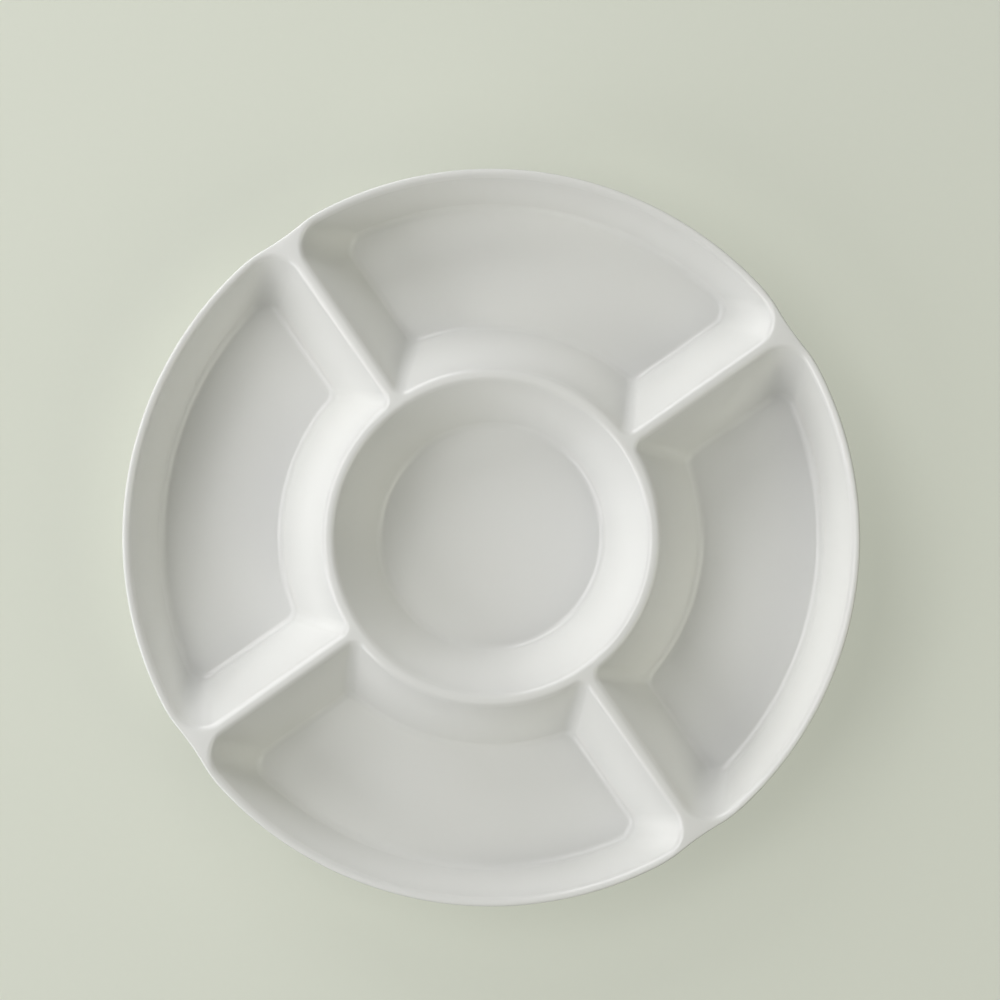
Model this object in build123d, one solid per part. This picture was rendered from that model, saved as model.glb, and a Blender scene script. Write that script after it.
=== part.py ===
from build123d import *

import os
from math import cos, radians, sin, sqrt, tan

# Divided serving dish, one moulding: four pans round a middle bowl, hung under one lobed deck.
# Millimetres and degrees. Z is up, the origin is on the table under the middle of the dish.
# The dividers run along the diagonals, so the pans lie on +X, +Y, -X and -Y.

# Overall sizes
RIM_DIAMETER = 330.0
HEIGHT = 40.0
PAN_COUNT = 4

# Thickness of the moulding
WALL = 2.6
FLOOR = 3.0
DECK = 3.4

# Ring between the middle bowl and the pans, measured at the top of its crest
RING_CREST_DIAMETER = 146.0

# Slope of the walls away from the upright
RIM_DRAFT = 16.5
DIVIDER_DRAFT = 27.5
RING_DRAFT = 29.5
BOWL_DRAFT = 28.5

# Rounding of the crests and the rim
CREST_RADIUS = 3.2
CREST_FLAT = 1.0
RIM_EDGE_RADIUS = 0.9
RIM_FLAT = 0.2

# Shallow pinches in the rim at the dividers
PINCH_DEPTH = 1.7
PINCH_RADIUS = 120.0
PINCH_BLEND_RADIUS = 60.0

# Rounding inside the pans and the bowl
PAN_BASE_RADIUS = 4.5
BOWL_BASE_RADIUS = 4.5
RIM_CORNER_TOP = 13.0
RIM_CORNER_FLOOR = 8.0
RING_CORNER_TOP = 5.0
RING_CORNER_FLOOR = 5.5

# Foot beads under the pans
FOOT_HEIGHT = 1.4
FOOT_WIDTH = 4.5
FOOT_SWEEP = 44.0
FOOT_EDGE_RADIUS = 0.5

# Levels and radii that follow from the sizes above
rim_radius = RIM_DIAMETER / 2
ring_crest_radius = RING_CREST_DIAMETER / 2
floor_level = FOOT_HEIGHT + FLOOR
divider_angle = 360 / PAN_COUNT / 2


def round_over_setback(radius, draft):
    """Flat run that a rounded top edge takes up on a wall that slopes outwards."""
    return radius * tan(radians(90 - draft) / 2)


def crest_half_width(draft):
    """Half the width of a crest at its top, out to where the wall would meet a sharp edge."""
    return CREST_FLAT / 2 + round_over_setback(CREST_RADIUS, draft)


def wall_run(draft, level):
    """How far a wall has moved in plan at a level below the top of the dish."""
    return (HEIGHT - level) * tan(radians(draft))


def wall_skin(draft):
    """Level thickness of a sloping wall."""
    return WALL / cos(radians(draft))


def sector_corner(radius, setback):
    """Where a circle meets the side of a pan that is set back from the divider's centre line."""
    along = sqrt(radius**2 - setback**2)
    turn = radians(divider_angle)
    x = along * cos(turn) + setback * sin(turn)
    y = along * sin(turn) - setback * cos(turn)
    return x, y


def sector_face(inner, outer, setback, inner_corner, outer_corner):
    """Plan of the pan on +X: a piece of a ring with rounded corners."""
    inner_x, inner_y = sector_corner(inner, setback)
    outer_x, outer_y = sector_corner(outer, setback)
    edges = [
        ThreePointArc((inner_x, inner_y), (inner, 0), (inner_x, -inner_y)),
        Line((inner_x, -inner_y), (outer_x, -outer_y)),
        ThreePointArc((outer_x, -outer_y), (outer, 0), (outer_x, outer_y)),
        Line((outer_x, outer_y), (inner_x, inner_y)),
    ]
    face = make_face(edges)
    inner_points = face.vertices().sort_by(lambda point: point.center().length)[:2]
    face = fillet(inner_points, inner_corner)
    outer_points = face.vertices().sort_by(lambda point: point.center().length)[-2:]
    return fillet(outer_points, outer_corner)


def pan_section(level, skinned):
    """Plan of the pan on +X at a level, of its hollow or, if skinned, of its outside."""
    depth_share = (HEIGHT - level) / (HEIGHT - floor_level)
    rim_corner = RIM_CORNER_TOP + (RIM_CORNER_FLOOR - RIM_CORNER_TOP) * depth_share
    ring_corner = RING_CORNER_TOP + (RING_CORNER_FLOOR - RING_CORNER_TOP) * depth_share
    outer = rim_radius - rim_width - wall_run(RIM_DRAFT, level)
    inner = ring_crest_radius + crest_half_width(RING_DRAFT) + wall_run(RING_DRAFT, level)
    setback = crest_half_width(DIVIDER_DRAFT) + wall_run(DIVIDER_DRAFT, level)
    if skinned:
        outer += wall_skin(RIM_DRAFT)
        inner -= wall_skin(RING_DRAFT)
        setback -= wall_skin(DIVIDER_DRAFT)
        rim_corner += WALL
        ring_corner += WALL
    return Pos(0, 0, level) * sector_face(inner, outer, setback, ring_corner, rim_corner)


def pan_form(bottom, top, base_radius, skinned):
    """Solid of the pan on +X between two levels, with its base rounded."""
    form = loft([pan_section(bottom, skinned), pan_section(top, skinned)], ruled=True)
    base = form.faces().sort_by(Axis.Z)[0]
    return fillet(base.edges(), base_radius)


def bowl_form(bottom, top, base_radius, skin):
    """Solid of the middle bowl between two levels, with its base rounded."""
    brim = ring_crest_radius - crest_half_width(BOWL_DRAFT) + skin
    bottom_radius = brim - wall_run(BOWL_DRAFT, bottom)
    top_radius = brim - wall_run(BOWL_DRAFT, top)
    align = (Align.CENTER, Align.CENTER, Align.MIN)
    form = Pos(0, 0, bottom) * Cone(bottom_radius, top_radius, top - bottom, align=align)
    base = form.faces().sort_by(Axis.Z)[0]
    return fillet(base.edges(), base_radius)


def deck_form():
    """Flat deck with the lobed outline of the rim, which closes the crests from above."""
    pinch_centre = rim_radius - PINCH_DEPTH + PINCH_RADIUS
    outline = Circle(rim_radius)
    for pinch in PolarLocations(pinch_centre, PAN_COUNT, start_angle=divider_angle):
        outline -= pinch * Circle(PINCH_RADIUS)
    pinch_ends = outline.vertices().filter_by(lambda point: abs(point.Y) > PINCH_DEPTH)
    outline = fillet(pinch_ends, PINCH_BLEND_RADIUS)
    deck = Pos(0, 0, HEIGHT - DECK) * extrude(outline, DECK)
    return fillet(deck.edges().filter_by(GeomType.CIRCLE), RIM_EDGE_RADIUS)


def foot_form():
    """Low arc of a bead that the pan on +X stands on."""
    inner = ring_crest_radius + crest_half_width(RING_DRAFT) + wall_run(RING_DRAFT, floor_level)
    outer = rim_radius - rim_width - wall_run(RIM_DRAFT, floor_level)
    path = CenterArc((0, 0), (inner + outer) / 2, -FOOT_SWEEP / 2, FOOT_SWEEP)
    bead = extrude(SlotArc(path, FOOT_WIDTH), floor_level - FLOOR / 2)
    return fillet(bead.faces().sort_by(Axis.Z)[0].edges(), FOOT_EDGE_RADIUS)


def round_crests(dish):
    """Round the edges of the hollows, which makes the crests of the ring, dividers and rim."""
    deck_top = dish.faces().sort_by(Axis.Z)[-1]
    hollow_edges = [edge for wire in deck_top.inner_wires() for edge in wire.edges()]
    return dish.fillet(CREST_RADIUS, hollow_edges)


def around(form):
    """Copies of a form, one for each pan."""
    return [place * form for place in PolarLocations(0, PAN_COUNT)]


rim_width = RIM_FLAT + RIM_EDGE_RADIUS + round_over_setback(CREST_RADIUS, RIM_DRAFT)
skin_top = HEIGHT - DECK / 2

outside = deck_form()
outside += around(pan_form(FOOT_HEIGHT, skin_top, PAN_BASE_RADIUS + WALL, True))
outside += bowl_form(FOOT_HEIGHT, skin_top, BOWL_BASE_RADIUS + WALL, wall_skin(BOWL_DRAFT))
outside += around(foot_form())

dish = outside - around(pan_form(floor_level, HEIGHT, PAN_BASE_RADIUS, False))
dish -= bowl_form(floor_level, HEIGHT, BOWL_BASE_RADIUS, 0)
dish = round_crests(dish)

os.makedirs("parts", exist_ok=True)
export_step(dish, "parts/divided_dish.step")
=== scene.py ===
from functools import cached_property
from math import cos, pi, radians, sin
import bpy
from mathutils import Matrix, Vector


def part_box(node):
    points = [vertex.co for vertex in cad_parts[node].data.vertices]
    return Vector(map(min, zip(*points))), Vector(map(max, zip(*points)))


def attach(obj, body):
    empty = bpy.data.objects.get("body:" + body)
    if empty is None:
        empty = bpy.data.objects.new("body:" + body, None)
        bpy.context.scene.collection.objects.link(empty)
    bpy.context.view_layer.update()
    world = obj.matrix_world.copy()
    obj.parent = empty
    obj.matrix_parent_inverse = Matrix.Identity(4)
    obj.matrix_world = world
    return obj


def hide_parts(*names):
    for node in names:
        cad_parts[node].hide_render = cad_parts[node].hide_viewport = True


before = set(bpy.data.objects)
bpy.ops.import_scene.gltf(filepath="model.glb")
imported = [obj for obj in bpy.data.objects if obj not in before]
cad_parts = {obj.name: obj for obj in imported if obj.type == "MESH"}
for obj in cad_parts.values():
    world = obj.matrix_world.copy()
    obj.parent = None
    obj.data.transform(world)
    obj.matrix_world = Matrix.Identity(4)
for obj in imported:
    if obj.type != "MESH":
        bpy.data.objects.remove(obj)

from types import SimpleNamespace

import bpy
from bpy.props import FloatProperty, FloatVectorProperty, IntProperty, PointerProperty
from mathutils import Matrix, Vector

bl_info = {
    "name": "Divided Serving Dish",
    "version": (1, 0, 0),
    "blender": (4, 5, 0),
    "location": "3D View > Sidebar > Dish",
    "description": "Dresses a four-pan serving dish with its moulded surface and sets it on a paper floor",
    "category": "Object",
}

NODE = "divided_dish"
low_corner, high_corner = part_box(NODE)
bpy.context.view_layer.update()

# Columns of faces along half the loop of a pan, from its middle by the ring and the divider to the rim
RING, RING_CORNER, DIVIDER, RIM_CORNER, RIM = "ring", "ring corner", "divider", "rim corner", "rim"
COLUMNS = {RING: 22, RING_CORNER: 12, DIVIDER: 14, RIM_CORNER: 20, RIM: 40}

# Rows of faces in a base fillet, up a wall, over a crest, round an edge of the rim and round that of a foot
BASE_ROWS = 12
WALL_ROWS = 6
CREST_ROWS = 9
EDGE_ROWS = 5
FOOT_ROWS = 4

# Turn of a fillet that gets close rows, edge angle that stays sharp, and distance of points made one
FILLET_SWEEP = radians(80)
SHARP_ANGLE = radians(38)
WELD = 2e-5

# Camera
LENS_SENSOR = 36.0
PHOTO_WIDTH = 1000
CAMERA_CLIP = 10.0

# Materials
WHITE = (1, 1, 1, 1)
MOULDING_IOR = 1.5
PAPER_ROUGHNESS = 0.9

# Noise scales, per metre
PATCH_SCALE = 9
RUB_SCALE = 22
RIPPLE_SCALE = 38
GRAIN_SCALE = 420
FIBRE_SCALE = 240

# Shares of what the noise does to the gloss, and depth of the ripple
TONE_SHARE = 0.6
RUB_SHARE = 0.35
RIPPLE_STRENGTH = 0.06
RIPPLE_DEPTH = 0.001
FIBRE_SHADE = 0.95

# Scratches: turn in radians, scale of the noise along each axis, and the level that it has to pass
SCRATCHES = ((0.6, (900, 18, 18), 0.72), (-0.9, (14, 800, 14), 0.73))
SCRATCH_CONTRAST = 9
SCRATCH_ROUGHNESS = 0.05

# Lamp places: bearing from the right of the image, anticlockwise, and rise above the rim, in degrees
KEY_PLACE = (160, 57)
BACK_PLACE = (119, 24)
FRONT_PLACE = (208, 24)
FILL_PLACE = (338, 37)


def length(name, millimetres, description):
    """A size in metres, stated in millimetres."""
    return FloatProperty(name=name, description=description, default=millimetres / 1000, unit="LENGTH",
                         subtype="DISTANCE", precision=5)


def angle(name, degrees, description):
    return FloatProperty(name=name, description=description, default=radians(degrees), unit="ROTATION",
                         subtype="ANGLE")


def colour(name, value, description):
    return FloatVectorProperty(name=name, description=description, default=value, subtype="COLOR", size=4,
                               min=0, max=1)


def share(name, value, description):
    return FloatProperty(name=name, description=description, default=value, min=0, soft_max=1)


def power(name, watts, description):
    return FloatProperty(name=name, description=description, default=watts, min=0, unit="POWER")


def pixels(name, value, description):
    return FloatProperty(name=name, description=description, default=value, subtype="PIXEL")


class DishSizes(bpy.types.PropertyGroup):
    """Sizes of the moulding"""

    pan_count: IntProperty(name="Pans", description="Number of pans round the bowl", default=4, min=3)
    rim_diameter: length("Rim diameter", (high_corner.x - low_corner.x) * 1000, "Width over the rim")
    height: length("Height", (high_corner.z - low_corner.z) * 1000, "Height over the feet")
    wall: length("Wall", 2.6, "Thickness of the sloping walls")
    floor: length("Floor", 3.0, "Thickness of the floors")
    deck: length("Deck", 3.4, "Thickness of the rim and of the web between the pans")
    ring_diameter: length("Ring diameter", 146, "Width of the crest round the bowl")
    rim_draft: angle("Rim draft", 16.5, "Slope of the outer wall")
    divider_draft: angle("Divider draft", 27.5, "Slope of the dividers")
    ring_draft: angle("Ring draft", 29.5, "Slope of the ring on the side of the pans")
    bowl_draft: angle("Bowl draft", 28.5, "Slope of the wall of the bowl")
    crest_radius: length("Crest radius", 3.2, "Rounding of the crests")
    crest_flat: length("Crest flat", 1.0, "Flat left on top of a crest")
    edge_radius: length("Edge radius", 0.9, "Rounding of the edge of the rim")
    rim_flat: length("Rim flat", 0.2, "Flat left on top of the rim")
    pinch_depth: length("Pinch depth", 1.7, "How far the rim is drawn in at a divider")
    pinch_radius: length("Pinch radius", 120, "Radius of the pinch in the rim")
    blend_radius: length("Blend radius", 60, "Radius between the pinch and the rim")
    pan_base: length("Pan base", 4.5, "Rounding between floor and wall of a pan")
    bowl_base: length("Bowl base", 4.5, "Rounding between floor and wall of the bowl")
    rim_corner_top: length("Rim corner, top", 13, "Corner of a pan at the rim, at the top")
    rim_corner_floor: length("Rim corner, floor", 8, "Corner of a pan at the rim, at the floor")
    ring_corner_top: length("Ring corner, top", 5, "Corner of a pan at the ring, at the top")
    ring_corner_floor: length("Ring corner, floor", 5.5, "Corner of a pan at the ring, at the floor")
    foot_height: length("Foot height", 1.4, "Height of the foot beads")
    foot_width: length("Foot width", 4.5, "Width of the foot beads")
    foot_sweep: angle("Foot sweep", 44, "Angle that a foot bead goes round")
    foot_edge: length("Foot edge", 0.5, "Rounding of a foot bead")


class DishFinish(bpy.types.PropertyGroup):
    """Finish of the moulding"""

    base: colour("Colour", (0.84, 0.844, 0.826, 1), "Colour of the moulding")
    warm: colour("Warm tone", (0.83, 0.831, 0.8, 1), "Tone of the slightly yellowed patches")
    gloss_roughness: share("Roughness", 0.16, "Roughness of the polished skin")
    rubbed_roughness: share("Rubbed roughness", 0.28, "Roughness where the skin is rubbed")


class StageLook(bpy.types.PropertyGroup):
    """Floor, lamps and camera"""

    paper: colour("Paper", (0.69, 0.715, 0.622, 1), "Colour of the paper floor")
    floor_size: length("Floor size", 6000, "Width of the paper floor")
    key_power: power("Key", 7.6, "Power of the lamp high on the left")
    back_power: power("Low back light", 11.1, "Power of the lamp low on the left at the back")
    front_power: power("Low front light", 9.8, "Power of the lamp low on the left at the front")
    fill_power: power("Fill", 6.2, "Power of the lamp on the right")
    fill_colour: colour("Fill colour", (1, 1, 0.85, 1), "Colour of the lamp on the right")
    lamp_distance: length("Lamp distance", 1500, "From the lamps to the dish")
    lamp_size: length("Lamp size", 900, "Width of a lamp")
    sky: share("Sky", 0.03, "Strength of the even light")
    paper_glow: share("Paper glow", 0.5, "Share of the paper that the camera sees without shadow")
    even_from: length("Even from", 500, "From the middle of the dish to where the paper starts to turn even")
    even_over: length("Even over", 900, "Run over which the paper turns even")
    camera_distance: length("Camera distance", 1600, "From the camera to the rim")
    pixels_per_metre: pixels("Scale", 2238, "Image pixels for a metre at the rim")
    camera_turn: angle("Camera turn", -10.1, "Turn of the dish in the image")
    rim_x: pixels("Rim x", 491.2, "Middle of the rim, in pixels from the left of the image")
    rim_y: pixels("Rim y", 537.6, "Middle of the rim, in pixels from the top of the image")


class Value:
    """A socket in an expression. Each operation adds the Math node that works it out."""

    def __init__(self, nodes, socket):
        self.nodes = nodes
        self.socket = socket

    def __add__(self, other):
        return self.nodes.math("ADD", self, other)

    def __radd__(self, other):
        return self.nodes.math("ADD", other, self)

    def __sub__(self, other):
        return self.nodes.math("SUBTRACT", self, other)

    def __rsub__(self, other):
        return self.nodes.math("SUBTRACT", other, self)

    def __mul__(self, other):
        return self.nodes.math("MULTIPLY", self, other)

    def __rmul__(self, other):
        return self.nodes.math("MULTIPLY", other, self)

    def __truediv__(self, other):
        return self.nodes.math("DIVIDE", self, other)

    def __rtruediv__(self, other):
        return self.nodes.math("DIVIDE", other, self)

    def __neg__(self):
        return self.nodes.math("MULTIPLY", self, -1)

    def __lt__(self, other):
        return self.nodes.math("LESS_THAN", self, other)

    def __gt__(self, other):
        return self.nodes.math("GREATER_THAN", self, other)


class Nodes:
    """Adds nodes to a shader or geometry tree."""

    def __init__(self, tree):
        self.tree = tree

    def add(self, kind, settings=None, values=None, out=0):
        """One node: its settings first, then its sockets. Gives one of its outputs as a Value."""
        node = self.tree.nodes.new(kind)
        for name, value in (settings or {}).items():
            setattr(node, name, value)
        for key, value in (values or {}).items():
            self.put(node.inputs[key], value)
        if not node.outputs:
            return node
        return Value(self, node.outputs[out])

    def put(self, socket, value):
        """A Value is linked to the socket, each one of a list in turn, and anything else is set on it."""
        for item in value if isinstance(value, list) else [value]:
            if isinstance(item, Value):
                self.tree.links.new(item.socket, socket)
            else:
                socket.default_value = item

    def math(self, operation, *values):
        return self.add("ShaderNodeMath", {"operation": operation}, dict(enumerate(values)))

    def root(self, value):
        return self.math("SQRT", self.math("MAXIMUM", value, 0))

    def clamp(self, value):
        return self.math("MINIMUM", self.math("MAXIMUM", value, 0), 1)

    def choose(self, condition, yes, no):
        """One of two values by a condition of 0 or 1."""
        return no + (yes - no) * condition


def between(start, end, part):
    """A value part of the way from start to end."""
    return start + (end - start) * part


class PanLoop:
    """Level outline of a pan: its two circles, its setback from the divider and its rounded corners.

    A point beside a divider has two coordinates: along the divider from the middle of the dish, and off its
    centre line into the pan on +X. Each size is worked out when it is first asked for.
    """

    def __init__(self, rule, level, offset):
        self.rule = rule
        self.sizes = rule.sizes
        self.nodes = rule.nodes
        self.depth = self.sizes.height - level
        self.offset = lambda draft: offset(level, draft, self.sizes.pan_base)

    @cached_property
    def rim_offset(self):
        return self.offset(self.sizes.rim_draft)

    @cached_property
    def ring_offset(self):
        return self.offset(self.sizes.ring_draft)

    @cached_property
    def side_offset(self):
        return self.offset(self.sizes.divider_draft)

    @cached_property
    def outer(self):
        return self.rule.rim_radius - self.rule.rim_width + self.rim_offset

    @cached_property
    def inner(self):
        return self.rule.ring_radius + self.rule.half_crest(self.sizes.ring_draft) - self.ring_offset

    @cached_property
    def setback(self):
        return self.rule.half_crest(self.sizes.divider_draft) - self.side_offset

    def corner(self, top, floor, draft, offset):
        """Radius of a corner at this level, wider or tighter by the fillets of the walls beside it."""
        depth_share = self.depth / (self.sizes.height - self.rule.floor_level)
        slopes = self.rule.tangent(draft) + self.rule.tangent(self.sizes.divider_draft)
        return between(top, floor, depth_share) + (offset + self.side_offset + self.depth * slopes) / 2

    @cached_property
    def rim_corner(self):
        sizes = self.sizes
        return self.corner(sizes.rim_corner_top, sizes.rim_corner_floor, sizes.rim_draft, self.rim_offset)

    @cached_property
    def ring_corner(self):
        sizes = self.sizes
        return self.corner(sizes.ring_corner_top, sizes.ring_corner_floor, sizes.ring_draft, self.ring_offset)

    @cached_property
    def rim_off(self):
        return self.setback + self.rim_corner

    @cached_property
    def ring_off(self):
        return self.setback + self.ring_corner

    @cached_property
    def rim_along(self):
        reach = self.outer - self.rim_corner
        return self.nodes.root(reach * reach - self.rim_off * self.rim_off)

    @cached_property
    def ring_along(self):
        reach = self.inner + self.ring_corner
        return self.nodes.root(reach * reach - self.ring_off * self.ring_off)

    @cached_property
    def rim_turn(self):
        """Angle from the divider to where the rim's corner ends."""
        return self.nodes.math("ARCTAN2", self.rim_off, self.rim_along)

    @cached_property
    def ring_turn(self):
        """Angle from the divider to where the ring's corner ends."""
        return self.nodes.math("ARCTAN2", self.ring_off, self.ring_along)

    def point(self, stretch, part):
        """Place on one stretch of the loop, part of the way along it."""
        rule = self.rule
        if stretch == RING:
            return rule.polar(self.inner, between(rule.half_pan, self.ring_turn, part))
        if stretch == RING_CORNER:
            swing = (pi / 2 - self.ring_turn) * (1 - part)
            off = self.ring_off - self.ring_corner * rule.cosine(swing)
            return self.ring_along - self.ring_corner * rule.sine(swing), off
        if stretch == DIVIDER:
            return between(self.ring_along, self.rim_along, part), self.setback
        if stretch == RIM_CORNER:
            swing = (pi / 2 + self.rim_turn) * part
            off = self.rim_off - self.rim_corner * rule.cosine(swing)
            return self.rim_along + self.rim_corner * rule.sine(swing), off
        return rule.polar(self.outer, between(self.rim_turn, rule.half_pan, part))

    def web_point(self, stretch, part):
        """Edge of the flat web beside the loop: the ring's crest, the divider's centre line or the rim."""
        nodes, rule = self.nodes, self.rule
        edge = self.sizes.edge_radius
        first_half = part < 0.5
        if stretch == RING:
            return rule.polar(rule.ring_radius, between(rule.half_pan, rule.crest_loop.ring_turn, part))
        if stretch == RING_CORNER:
            on_ring = rule.polar(rule.ring_radius, rule.crest_loop.ring_turn * nodes.clamp(1 - 2 * part))
            along = between(rule.ring_radius, self.ring_along, 2 * part - 1)
            return nodes.choose(first_half, on_ring[0], along), nodes.choose(first_half, on_ring[1], 0)
        if stretch == DIVIDER:
            return between(self.ring_along, self.rim_along, part), 0
        if stretch == RIM_CORNER:
            turn = rule.crest_loop.rim_turn * nodes.clamp(2 * part - 1)
            on_rim = rule.polar(rule.rim_reach(turn, edge), turn)
            along = between(self.rim_along, rule.rim_reach(0, edge), 2 * part)
            return nodes.choose(first_half, along, on_rim[0]), nodes.choose(first_half, 0, on_rim[1])
        turn = between(rule.crest_loop.rim_turn, rule.half_pan, part)
        return rule.polar(rule.rim_reach(turn, edge), turn)


class DishRule:
    """The rule of the dish, as fields over grids of faces. Half a pan is made, and the rest are copies."""

    def __init__(self, nodes, sizes):
        self.nodes = nodes
        self.sizes = sizes
        self.half_pan = pi / sizes.pan_count
        self.rim_radius = sizes.rim_diameter / 2
        self.ring_radius = sizes.ring_diameter / 2
        self.floor_level = sizes.foot_height + sizes.floor
        self.deck_level = sizes.height - sizes.deck

    @cached_property
    def rim_width(self):
        sizes = self.sizes
        return sizes.rim_flat + sizes.edge_radius + sizes.crest_radius * self.blend(sizes.rim_draft)

    @cached_property
    def crest_loop(self):
        """Outline where a pan's crest meets the flat web."""
        return PanLoop(self, self.sizes.height, self.hollow_offset)

    @cached_property
    def bowl_brim(self):
        return self.ring_radius - self.half_crest(self.sizes.bowl_draft)

    @cached_property
    def pan_middle(self):
        """Radius of the middle of a pan's floor, before its base is rounded."""
        sizes = self.sizes
        drop = sizes.height - self.floor_level
        outer = self.rim_radius - self.rim_width - drop * self.tangent(sizes.rim_draft)
        inner = self.ring_radius + self.half_crest(sizes.ring_draft) + drop * self.tangent(sizes.ring_draft)
        return (inner + outer) / 2

    def sine(self, value):
        return self.nodes.math("SINE", value)

    def cosine(self, value):
        return self.nodes.math("COSINE", value)

    def tangent(self, value):
        return self.nodes.math("TANGENT", value)

    def polar(self, radius, turn):
        return radius * self.cosine(turn), radius * self.sine(turn)

    def blend(self, draft):
        """Run of a fillet on a flat, for a radius of one."""
        return self.tangent((pi / 2 - draft) / 2)

    def half_crest(self, draft):
        """Half the width of a crest, out to where its wall would meet a sharp edge."""
        return self.sizes.crest_flat / 2 + self.sizes.crest_radius * self.blend(draft)

    def hollow_offset(self, level, draft, base_radius):
        """How far a hollow's wall lies from its sharp top edge, with its crest and base rounded."""
        nodes, sizes = self.nodes, self.sizes
        depth = sizes.height - level
        rise = level - self.floor_level
        slope = self.tangent(draft)
        blend = self.blend(draft)
        fillet_share = 1 - self.sine(draft)
        crest_radius = sizes.crest_radius
        crest = crest_radius * blend - nodes.root((2 * crest_radius - depth) * depth)
        foot_of_wall = (self.floor_level - sizes.height) * slope - base_radius * blend
        base = foot_of_wall + nodes.root((2 * base_radius - rise) * rise)
        low_part = nodes.choose(rise < base_radius * fillet_share, base, -depth * slope)
        return nodes.choose(depth < crest_radius * fillet_share, crest, low_part)

    def skin_offset(self, level, draft, base_radius):
        """The same for the outside of a wall, under the deck."""
        nodes, sizes = self.nodes, self.sizes
        radius = base_radius + sizes.wall
        rise = level - sizes.foot_height
        slope = self.tangent(draft)
        skin = sizes.wall / self.cosine(draft)
        foot_of_wall = skin + (sizes.foot_height - sizes.height) * slope - radius * self.blend(draft)
        base = foot_of_wall + nodes.root((2 * radius - rise) * rise)
        straight = skin - (sizes.height - level) * slope
        return nodes.choose(rise < radius * (1 - self.sine(draft)), base, straight)

    def rim_reach(self, turn, inset):
        """Distance from the middle to the lobed outline of the rim, drawn in by an inset."""
        nodes, sizes = self.nodes, self.sizes
        pinch_middle = self.rim_radius - sizes.pinch_depth + sizes.pinch_radius
        blend_middle = self.rim_radius - sizes.blend_radius
        apart = sizes.pinch_radius + sizes.blend_radius
        squares = pinch_middle * pinch_middle + blend_middle * blend_middle - apart * apart
        blend_turn = nodes.math("ARCCOSINE", squares / (2 * pinch_middle * blend_middle))
        pinch_radius = sizes.pinch_radius + inset
        blend_radius = sizes.blend_radius - inset
        step = pinch_radius / apart
        touch_along = between(pinch_middle, blend_middle * self.cosine(blend_turn), step)
        touch_turn = nodes.math("ARCTAN2", blend_middle * self.sine(blend_turn) * step, touch_along)
        pinch_off = pinch_middle * self.sine(turn)
        pinch_near = nodes.root(pinch_radius * pinch_radius - pinch_off * pinch_off)
        pinch = pinch_middle * self.cosine(turn) - pinch_near
        beside = turn - blend_turn
        blend_off = blend_middle * self.sine(beside)
        blend_far = nodes.root(blend_radius * blend_radius - blend_off * blend_off)
        blend = blend_middle * self.cosine(beside) + blend_far
        outside = nodes.choose(turn < blend_turn, blend, self.rim_radius - inset)
        return nodes.choose(turn < touch_turn, pinch, outside)

    def wall_level(self, row, bottom, top, base_radius):
        """Level of a row of faces: close rows in the base fillet, even ones above."""
        nodes = self.nodes
        base_part = nodes.clamp(row / BASE_ROWS)
        wall_part = nodes.clamp((row - BASE_ROWS) / WALL_ROWS)
        fillet_top = bottom + base_radius * (1 - cos(FILLET_SWEEP))
        in_fillet = bottom + base_radius * (1 - self.cosine(base_part * FILLET_SWEEP))
        return in_fillet + (top - fillet_top) * wall_part

    def hollow_level(self, row, base_radius):
        """Level of a row inside a hollow, with close rows in the crest too."""
        crest_radius = self.sizes.crest_radius
        crest_drop = crest_radius * (1 - cos(FILLET_SWEEP))
        level = self.wall_level(row, self.floor_level, self.sizes.height - crest_drop, base_radius)
        crest_part = self.nodes.clamp((row - BASE_ROWS - WALL_ROWS) / CREST_ROWS)
        return level + crest_radius * (self.cosine((1 - crest_part) * FILLET_SWEEP) - cos(FILLET_SWEEP))

    def skin_level(self, row, base_radius):
        return self.wall_level(row, self.sizes.foot_height, self.deck_level, base_radius + self.sizes.wall)

    def place(self, along, off, level):
        """Position in the dish from the coordinates beside the divider."""
        turn_cos = self.cosine(self.half_pan)
        turn_sin = self.sine(self.half_pan)
        x = along * turn_cos + off * turn_sin
        y = along * turn_sin - off * turn_cos
        return self.nodes.add("ShaderNodeCombineXYZ", values={"X": x, "Y": y, "Z": level})

    def patch(self, columns, rows, rule):
        """A grid of faces whose points follow a rule of part, the share of the way along it, and row."""
        nodes = self.nodes
        grid = nodes.add("GeometryNodeMeshGrid", values={"Vertices X": columns + 1, "Vertices Y": rows + 1})
        place = nodes.add("GeometryNodeInputPosition")
        part = nodes.add("ShaderNodeSeparateXYZ", values={"Vector": place}) + 0.5
        across = nodes.add("ShaderNodeSeparateXYZ", values={"Vector": place}, out=1) + 0.5
        row = nodes.math("ROUND", across * rows)
        return nodes.add("GeometryNodeSetPosition", values={"Geometry": grid, "Position": rule(part, row)})

    def flipped(self, patch):
        return self.nodes.add("GeometryNodeFlipFaces", values={"Mesh": patch})

    def pan_side(self, stretch, level_of, offset, rows):
        """One side of a pan along one stretch, from the middle of its floor to the edge of the web."""
        nodes = self.nodes

        def rule(part, row):
            level = level_of(row - 1, self.sizes.pan_base)
            loop = PanLoop(self, level, offset)
            middle = self.polar(self.pan_middle, self.half_pan)
            at_middle = row < 0.5
            at_web = row > rows - 0.5
            places = zip(middle, loop.point(stretch, part), loop.web_point(stretch, part))
            along, off = (
                nodes.choose(at_web, web, nodes.choose(at_middle, floor, wall)) for floor, wall, web in places
            )
            return self.place(along, off, level)

        return self.patch(COLUMNS[stretch], rows, rule)

    def pan_inside(self, stretch):
        rows = BASE_ROWS + WALL_ROWS + CREST_ROWS + 2
        return self.pan_side(stretch, self.hollow_level, self.hollow_offset, rows)

    def pan_underside(self, stretch):
        rows = BASE_ROWS + WALL_ROWS + 2
        return self.flipped(self.pan_side(stretch, self.skin_level, self.skin_offset, rows))

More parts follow.
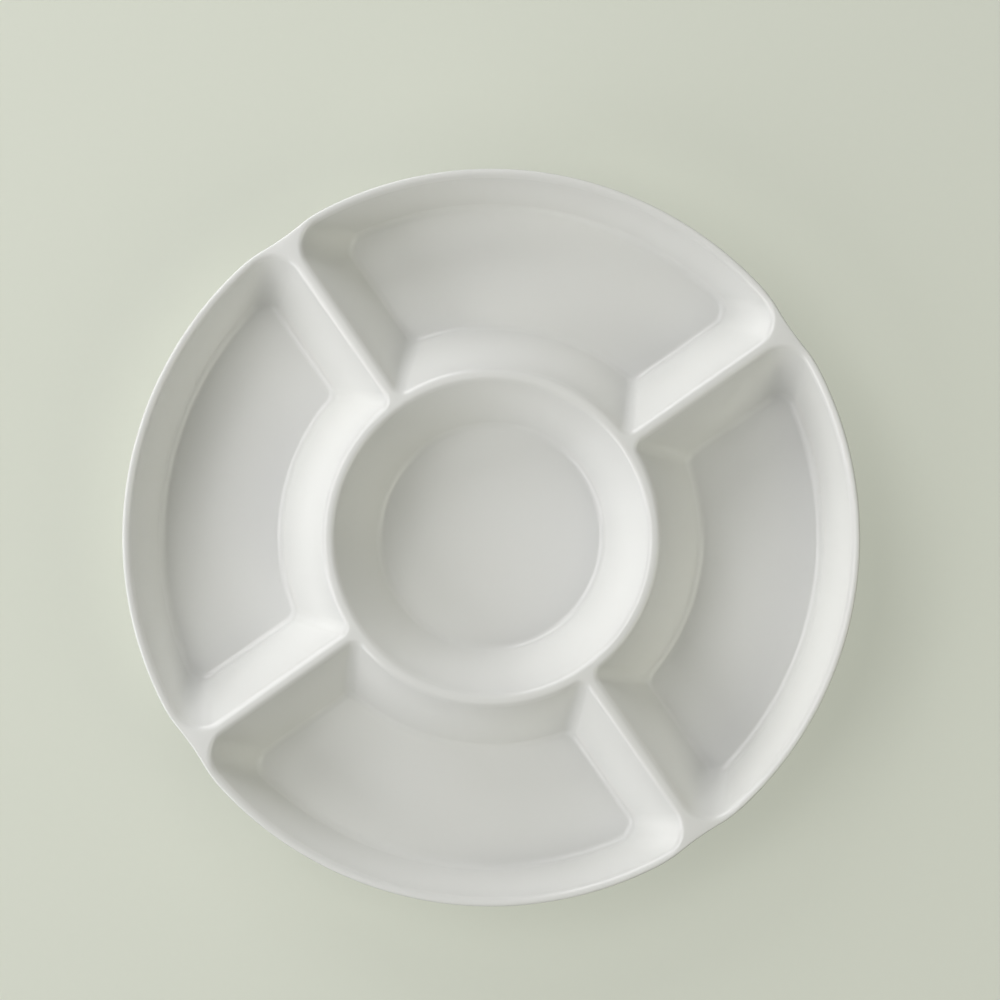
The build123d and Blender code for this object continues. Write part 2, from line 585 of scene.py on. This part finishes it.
    def bowl_side(self, stretch, level_of, offset, rows):
        """One side of the bowl beside one stretch of the ring, with the columns of the pan beside it."""
        columns = COLUMNS[RING] if stretch == RING else COLUMNS[RING_CORNER] // 2

        def rule(part, row):
            ring_turn = self.crest_loop.ring_turn
            turn = between(self.half_pan, ring_turn, part) if stretch == RING else ring_turn * (1 - part)
            level = level_of(row - 1, self.sizes.bowl_base)
            wall = self.bowl_brim + offset(level, self.sizes.bowl_draft, self.sizes.bowl_base)
            radius = self.nodes.choose(row > rows - 0.5, self.ring_radius, wall) * (row > 0.5)
            return self.place(*self.polar(radius, turn), level)

        return self.patch(columns, rows, rule)

    def bowl_inside(self, stretch):
        rows = BASE_ROWS + WALL_ROWS + CREST_ROWS + 2
        return self.flipped(self.bowl_side(stretch, self.hollow_level, self.hollow_offset, rows))

    def bowl_underside(self, stretch):
        rows = BASE_ROWS + WALL_ROWS + 2
        return self.bowl_side(stretch, self.skin_level, self.skin_offset, rows)

    def rim_edge(self, stretch):
        """Rounded edge of the rim along the half of a corner that lies on it, or along the rim itself."""
        sizes = self.sizes
        columns = COLUMNS[RIM] if stretch == RIM else COLUMNS[RIM_CORNER] // 2

        def rule(part, row):
            rim_turn = self.crest_loop.rim_turn
            turn = between(rim_turn, self.half_pan, part) if stretch == RIM else rim_turn * part
            top_swing = self.nodes.clamp(row / EDGE_ROWS) * (pi / 2)
            low_swing = self.nodes.clamp((row - EDGE_ROWS - 1) / EDGE_ROWS) * (pi / 2)
            inset = sizes.edge_radius * (2 - self.sine(top_swing) - self.cosine(low_swing))
            side = (sizes.deck - 2 * sizes.edge_radius) * self.nodes.clamp(row - EDGE_ROWS)
            drop = sizes.edge_radius * (1 - self.cosine(top_swing) + self.sine(low_swing)) + side
            return self.place(*self.polar(self.rim_reach(turn, inset), turn), sizes.height - drop)

        return self.patch(columns, 2 * EDGE_ROWS + 1, rule)

    def foot(self, stretch):
        """One stretch of a foot bead: its inner side, its round end or its outer side."""
        nodes, sizes = self.nodes, self.sizes
        rows = FOOT_ROWS + 3
        path_end = self.half_pan - sizes.foot_sweep / 2

        def rule(part, row):
            swing = nodes.clamp((row - 1) / FOOT_ROWS) * (pi / 2)
            off_spine = nodes.math("COMPARE", row, rows / 2, rows / 2 - 0.5)
            half = (sizes.foot_width / 2 - sizes.foot_edge * (1 - self.sine(swing))) * off_spine
            buried = sizes.foot_height + sizes.floor / 2
            level = nodes.choose(row > FOOT_ROWS + 1.5, buried, sizes.foot_edge * (1 - self.cosine(swing)))
            if stretch == RING:
                turn = between(self.half_pan, path_end, part)
                return self.place(*self.polar(self.pan_middle - half, turn), level)
            if stretch == RIM:
                turn = between(path_end, self.half_pan, part)
                return self.place(*self.polar(self.pan_middle + half, turn), level)
            end = self.polar(self.pan_middle, path_end)
            tip = self.polar(half, path_end - pi * (1 - part))
            return self.place(end[0] + tip[0], end[1] + tip[1], level)

        columns = COLUMNS[RING_CORNER] if stretch == RIM_CORNER else COLUMNS[RING]
        return self.patch(columns, rows, rule)


def sized_tree(name):
    """A geometry tree with an input for each size of the dish and one output. Gives its nodes and sizes."""
    tree = bpy.data.node_groups.new(name, "GeometryNodeTree")
    for key in DishSizes.__annotations__:
        kind = "NodeSocketInt" if key == "pan_count" else "NodeSocketFloat"
        tree.interface.new_socket(name=key, in_out="INPUT", socket_type=kind)
    tree.interface.new_socket(name="dish", in_out="OUTPUT", socket_type="NodeSocketGeometry")
    nodes = Nodes(tree)
    given = nodes.add("NodeGroupInput").socket.node.outputs
    sizes = SimpleNamespace(**{key: Value(nodes, given[key]) for key in DishSizes.__annotations__})
    return nodes, sizes


def surface_group(make, stretch):
    """Node group of one stretch of one surface, so that the tree of the dish stays short."""
    nodes, sizes = sized_tree(f"{make.__name__} {stretch}")
    nodes.add("NodeGroupOutput", values={"dish": make(DishRule(nodes, sizes), stretch)})
    return nodes.tree


SURFACES = (
    (DishRule.pan_inside, (RING, RING_CORNER, DIVIDER, RIM_CORNER, RIM)),
    (DishRule.pan_underside, (RING, RING_CORNER, DIVIDER, RIM_CORNER, RIM)),
    (DishRule.bowl_inside, (RING, RING_CORNER)),
    (DishRule.bowl_underside, (RING, RING_CORNER)),
    (DishRule.rim_edge, (RIM_CORNER, RIM)),
    (DishRule.foot, (RING, RIM_CORNER, RIM)),
)


def dish_tree():
    """Geometry tree of the whole dish: half a pan from its surfaces, mirrored and turned round the bowl."""
    groups = [surface_group(make, stretch) for make, stretches in SURFACES for stretch in stretches]
    nodes, sizes = sized_tree("dish_rule")
    nodes.tree.interface.new_socket(name="finish", in_out="INPUT", socket_type="NodeSocketMaterial")
    finish = Value(nodes, sizes.height.socket.node.outputs["finish"])
    faces = [nodes.add("GeometryNodeGroup", {"node_tree": group}, vars(sizes)) for group in groups]
    half = nodes.add("GeometryNodeJoinGeometry", values={"Geometry": faces})
    mirrored = nodes.add("GeometryNodeTransform", values={"Geometry": half, "Scale": (1, -1, 1)})
    other_half = nodes.add("GeometryNodeFlipFaces", values={"Mesh": mirrored})
    pan = nodes.add("GeometryNodeJoinGeometry", values={"Geometry": [half, other_half]})
    places = nodes.add("GeometryNodePoints", values={"Count": sizes.pan_count})
    turn = nodes.add("GeometryNodeInputIndex") * (2 * pi) / sizes.pan_count
    turned = nodes.add("ShaderNodeCombineXYZ", values={"Z": turn})
    copies = nodes.add("GeometryNodeInstanceOnPoints", values={
        "Points": places, "Instance": pan, "Rotation": turned})
    whole = nodes.add("GeometryNodeRealizeInstances", values={"Geometry": copies})
    welded = nodes.add("GeometryNodeMergeByDistance", values={"Geometry": whole, "Distance": WELD})
    smooth = nodes.add("GeometryNodeSetShadeSmooth", values={"Geometry": welded, "Shade Smooth": True})
    sharp = nodes.add("GeometryNodeInputMeshEdgeAngle") > SHARP_ANGLE
    edged = nodes.add("GeometryNodeSetShadeSmooth", {"domain": "EDGE"}, {
        "Geometry": smooth, "Selection": sharp, "Shade Smooth": False})
    painted = nodes.add("GeometryNodeSetMaterial", values={"Geometry": edged, "Material": finish})
    nodes.add("NodeGroupOutput", values={"dish": painted})
    return nodes.tree


def dish_mesh(sizes, finish):
    """The tree's result as a plain mesh."""
    tree = dish_tree()
    maker = bpy.data.objects.new("dish_maker", bpy.data.meshes.new("dish_maker"))
    bpy.context.collection.objects.link(maker)
    modifier = maker.modifiers.new("dish_rule", "NODES")
    modifier.node_group = tree
    for item in tree.interface.items_tree:
        if item.in_out == "INPUT":
            modifier[item.identifier] = finish if item.name == "finish" else getattr(sizes, item.name)
    shown = maker.evaluated_get(bpy.context.evaluated_depsgraph_get())
    mesh = bpy.data.meshes.new_from_object(shown)
    maker.modifiers.remove(modifier)
    bpy.data.objects.remove(maker)
    if not mesh.polygons:
        raise RuntimeError("the rule of the dish made no faces")
    return mesh


def new_material(name):
    """An empty material, its nodes and the coordinates of the object that has it."""
    material = bpy.data.materials.new(name)
    material.use_nodes = True
    material.node_tree.nodes.clear()
    nodes = Nodes(material.node_tree)
    place = nodes.add("ShaderNodeTexCoord").socket.node.outputs["Object"]
    return material, nodes, Value(nodes, place)


def noise(nodes, place, scale, detail=2.0, roughness=0.5):
    return nodes.add("ShaderNodeTexNoise", values={
        "Vector": place, "Scale": scale, "Detail": detail, "Roughness": roughness})


def hair_scratches(nodes, place, turn, stretch, least):
    """Thin lines in one direction, where stretched noise is over a least level."""
    stretched = nodes.add("ShaderNodeMapping", values={
        "Vector": place, "Rotation": (0, 0, turn), "Scale": stretch})
    return nodes.clamp((noise(nodes, stretched, 1, 1) - least) * SCRATCH_CONTRAST)


def moulding_gloss(finish):
    """Polished off-white moulding: uneven tone, rubbed patches, hair scratches and a slight ripple."""
    material, nodes, place = new_material("moulding_gloss")
    tone = nodes.clamp((noise(nodes, place, PATCH_SCALE) - 0.35) * 2.2)
    colour = nodes.add("ShaderNodeMix", {"data_type": "RGBA"}, {
        "Factor": tone * TONE_SHARE, 6: tuple(finish.base), 7: tuple(finish.warm)}, out=2)
    scratches, crossed_scratches = (hair_scratches(nodes, place, *kind) for kind in SCRATCHES)
    rubbed = nodes.clamp((noise(nodes, place, RUB_SCALE, 4) - 0.45) * 1.6)
    rough = between(finish.gloss_roughness, finish.rubbed_roughness, rubbed * RUB_SHARE)
    rough = rough + (scratches + crossed_scratches) * SCRATCH_ROUGHNESS
    ripple = noise(nodes, place, RIPPLE_SCALE, 1) * 0.7 + noise(nodes, place, GRAIN_SCALE, 2) * 0.05
    bump = nodes.add("ShaderNodeBump", values={
        "Strength": RIPPLE_STRENGTH, "Distance": RIPPLE_DEPTH, "Height": ripple})
    shader = nodes.add("ShaderNodeBsdfPrincipled", values={
        "Base Color": colour, "Roughness": rough, "Normal": bump, "IOR": MOULDING_IOR})
    nodes.add("ShaderNodeOutputMaterial", values={"Surface": shader})
    return material


def paper_floor(look):
    """Matt pale paper with a faint fibre.

    The camera sees part of it at an even level, so its shadow stays soft, and all of it far from the dish.
    """
    material, nodes, place = new_material("paper_floor")
    fibre = noise(nodes, place, FIBRE_SCALE, 6, 0.7)
    pale = tuple(look.paper)
    dark = tuple(part * FIBRE_SHADE for part in pale[:3]) + (1,)
    colour = nodes.add("ShaderNodeMix", {"data_type": "RGBA"}, {"Factor": fibre, 6: pale, 7: dark}, out=2)
    matt = nodes.add("ShaderNodeBsdfPrincipled", values={"Base Color": colour, "Roughness": PAPER_ROUGHNESS})
    even = nodes.add("ShaderNodeEmission", values={"Color": pale})
    away = nodes.add("ShaderNodeVectorMath", {"operation": "LENGTH"}, {0: place}, out=1)
    far = nodes.clamp((away - look.even_from) / look.even_over)
    seen = nodes.add("ShaderNodeLightPath") * between(look.paper_glow, 1, far)
    shader = nodes.add("ShaderNodeMixShader", values={"Fac": seen, 1: matt, 2: even})
    nodes.add("ShaderNodeOutputMaterial", values={"Surface": shader})
    return material


def even_light(look):
    """Weak even light from all round, which the camera sees as more of the paper."""
    world = bpy.data.worlds.new("even_light")
    world.use_nodes = True
    world.node_tree.nodes.clear()
    nodes = Nodes(world.node_tree)
    weak = nodes.add("ShaderNodeBackground", values={"Color": WHITE, "Strength": look.sky})
    paper = nodes.add("ShaderNodeBackground", values={"Color": tuple(look.paper)})
    seen = nodes.add("ShaderNodeLightPath")
    shader = nodes.add("ShaderNodeMixShader", values={"Fac": seen, 1: weak, 2: paper})
    nodes.add("ShaderNodeOutputWorld", values={"Surface": shader})
    return world


def view_turn(look):
    """Rotation from the camera's axes to the dish's. The camera looks straight down into the dish."""
    return Matrix.Rotation(look.camera_turn, 3, "Z").transposed()


def add_camera(look, rim_middle):
    """Camera that sees the dish as the photograph does."""
    turn = view_turn(look)
    middle = PHOTO_WIDTH / 2
    across = (look.rim_x - middle) / look.pixels_per_metre
    up = (middle - look.rim_y) / look.pixels_per_metre
    data = bpy.data.cameras.new("photo_camera")
    data.sensor_width = LENS_SENSOR
    data.lens = LENS_SENSOR * look.pixels_per_metre * look.camera_distance / PHOTO_WIDTH
    data.clip_end = CAMERA_CLIP
    camera = bpy.data.objects.new("photo_camera", data)
    place = rim_middle + turn @ Vector((-across, -up, look.camera_distance))
    camera.matrix_world = Matrix.Translation(place) @ turn.to_4x4()
    bpy.context.collection.objects.link(camera)
    bpy.context.scene.camera = camera


def add_lamp(name, look, rim_middle, lamp_place, watts, tint=WHITE):
    """A soft lamp that faces the dish from its place."""
    data = bpy.data.lights.new(name, "AREA")
    data.shape = "SQUARE"
    data.size = look.lamp_size
    data.energy = watts
    data.color = tint[:3]
    bearing, rise = (radians(value) for value in lamp_place)
    across = cos(rise)
    toward = view_turn(look) @ Vector((across * cos(bearing), across * sin(bearing), sin(rise)))
    lamp = bpy.data.objects.new(name, data)
    facing = toward.to_track_quat("Z", "Y").to_matrix().to_4x4()
    lamp.matrix_world = Matrix.Translation(rim_middle + toward * look.lamp_distance) @ facing
    bpy.context.collection.objects.link(lamp)


class DISH_OT_moulding(bpy.types.Operator):
    """Make the moulded dish and put it in place of its plain solid"""

    bl_idname = "dish.moulding"
    bl_label = "Moulding"

    def execute(self, context):
        mesh = dish_mesh(context.scene.dish_sizes, moulding_gloss(context.scene.dish_finish))
        mesh.name = "dish_moulding"
        piece = bpy.data.objects.new("dish_moulding", mesh)
        context.collection.objects.link(piece)
        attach(piece, "root")
        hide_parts(NODE)
        return {"FINISHED"}


class DISH_OT_stage(bpy.types.Operator):
    """Lay the paper floor and set up the lamps and the camera"""

    bl_idname = "dish.stage"
    bl_label = "Stage"

    def execute(self, context):
        look = context.scene.stage_look
        half = look.floor_size / 2
        plan = ((-half, -half), (half, -half), (half, half), (-half, half))
        corners = [(x, y, low_corner.z) for x, y in plan]
        mesh = bpy.data.meshes.new("paper_floor")
        mesh.from_pydata(corners, [], [(0, 1, 2, 3)])
        mesh.materials.append(paper_floor(look))
        floor = bpy.data.objects.new("paper_floor", mesh)
        context.collection.objects.link(floor)
        rim_middle = (low_corner + high_corner) / 2
        rim_middle.z = high_corner.z
        add_lamp("key", look, rim_middle, KEY_PLACE, look.key_power)
        add_lamp("low_back_light", look, rim_middle, BACK_PLACE, look.back_power)
        add_lamp("low_front_light", look, rim_middle, FRONT_PLACE, look.front_power)
        add_lamp("fill", look, rim_middle, FILL_PLACE, look.fill_power, look.fill_colour)
        context.scene.world = even_light(look)
        context.scene.view_settings.view_transform = "Standard"
        add_camera(look, rim_middle)
        return {"FINISHED"}


class DISH_PT_panel(bpy.types.Panel):
    """Lists the steps and their sizes"""

    bl_idname = "DISH_PT_panel"
    bl_label = "Divided Serving Dish"
    bl_space_type = "VIEW_3D"
    bl_region_type = "UI"
    bl_category = "Dish"

    def draw(self, context):
        for group in (context.scene.dish_sizes, context.scene.dish_finish, context.scene.stage_look):
            box = self.layout.box()
            for key in group.__annotations__:
                box.prop(group, key)
        self.layout.operator(DISH_OT_moulding.bl_idname)
        self.layout.operator(DISH_OT_stage.bl_idname)


CLASSES = (DishSizes, DishFinish, StageLook, DISH_OT_moulding, DISH_OT_stage, DISH_PT_panel)


def register():
    for item in CLASSES:
        bpy.utils.register_class(item)
    bpy.types.Scene.dish_sizes = PointerProperty(type=DishSizes)
    bpy.types.Scene.dish_finish = PointerProperty(type=DishFinish)
    bpy.types.Scene.stage_look = PointerProperty(type=StageLook)


def unregister():
    del bpy.types.Scene.stage_look
    del bpy.types.Scene.dish_finish
    del bpy.types.Scene.dish_sizes
    for item in reversed(CLASSES):
        bpy.utils.unregister_class(item)


def main():
    register()
    bpy.ops.dish.moulding()
    bpy.ops.dish.stage()


if __name__ == "__main__":
    main()
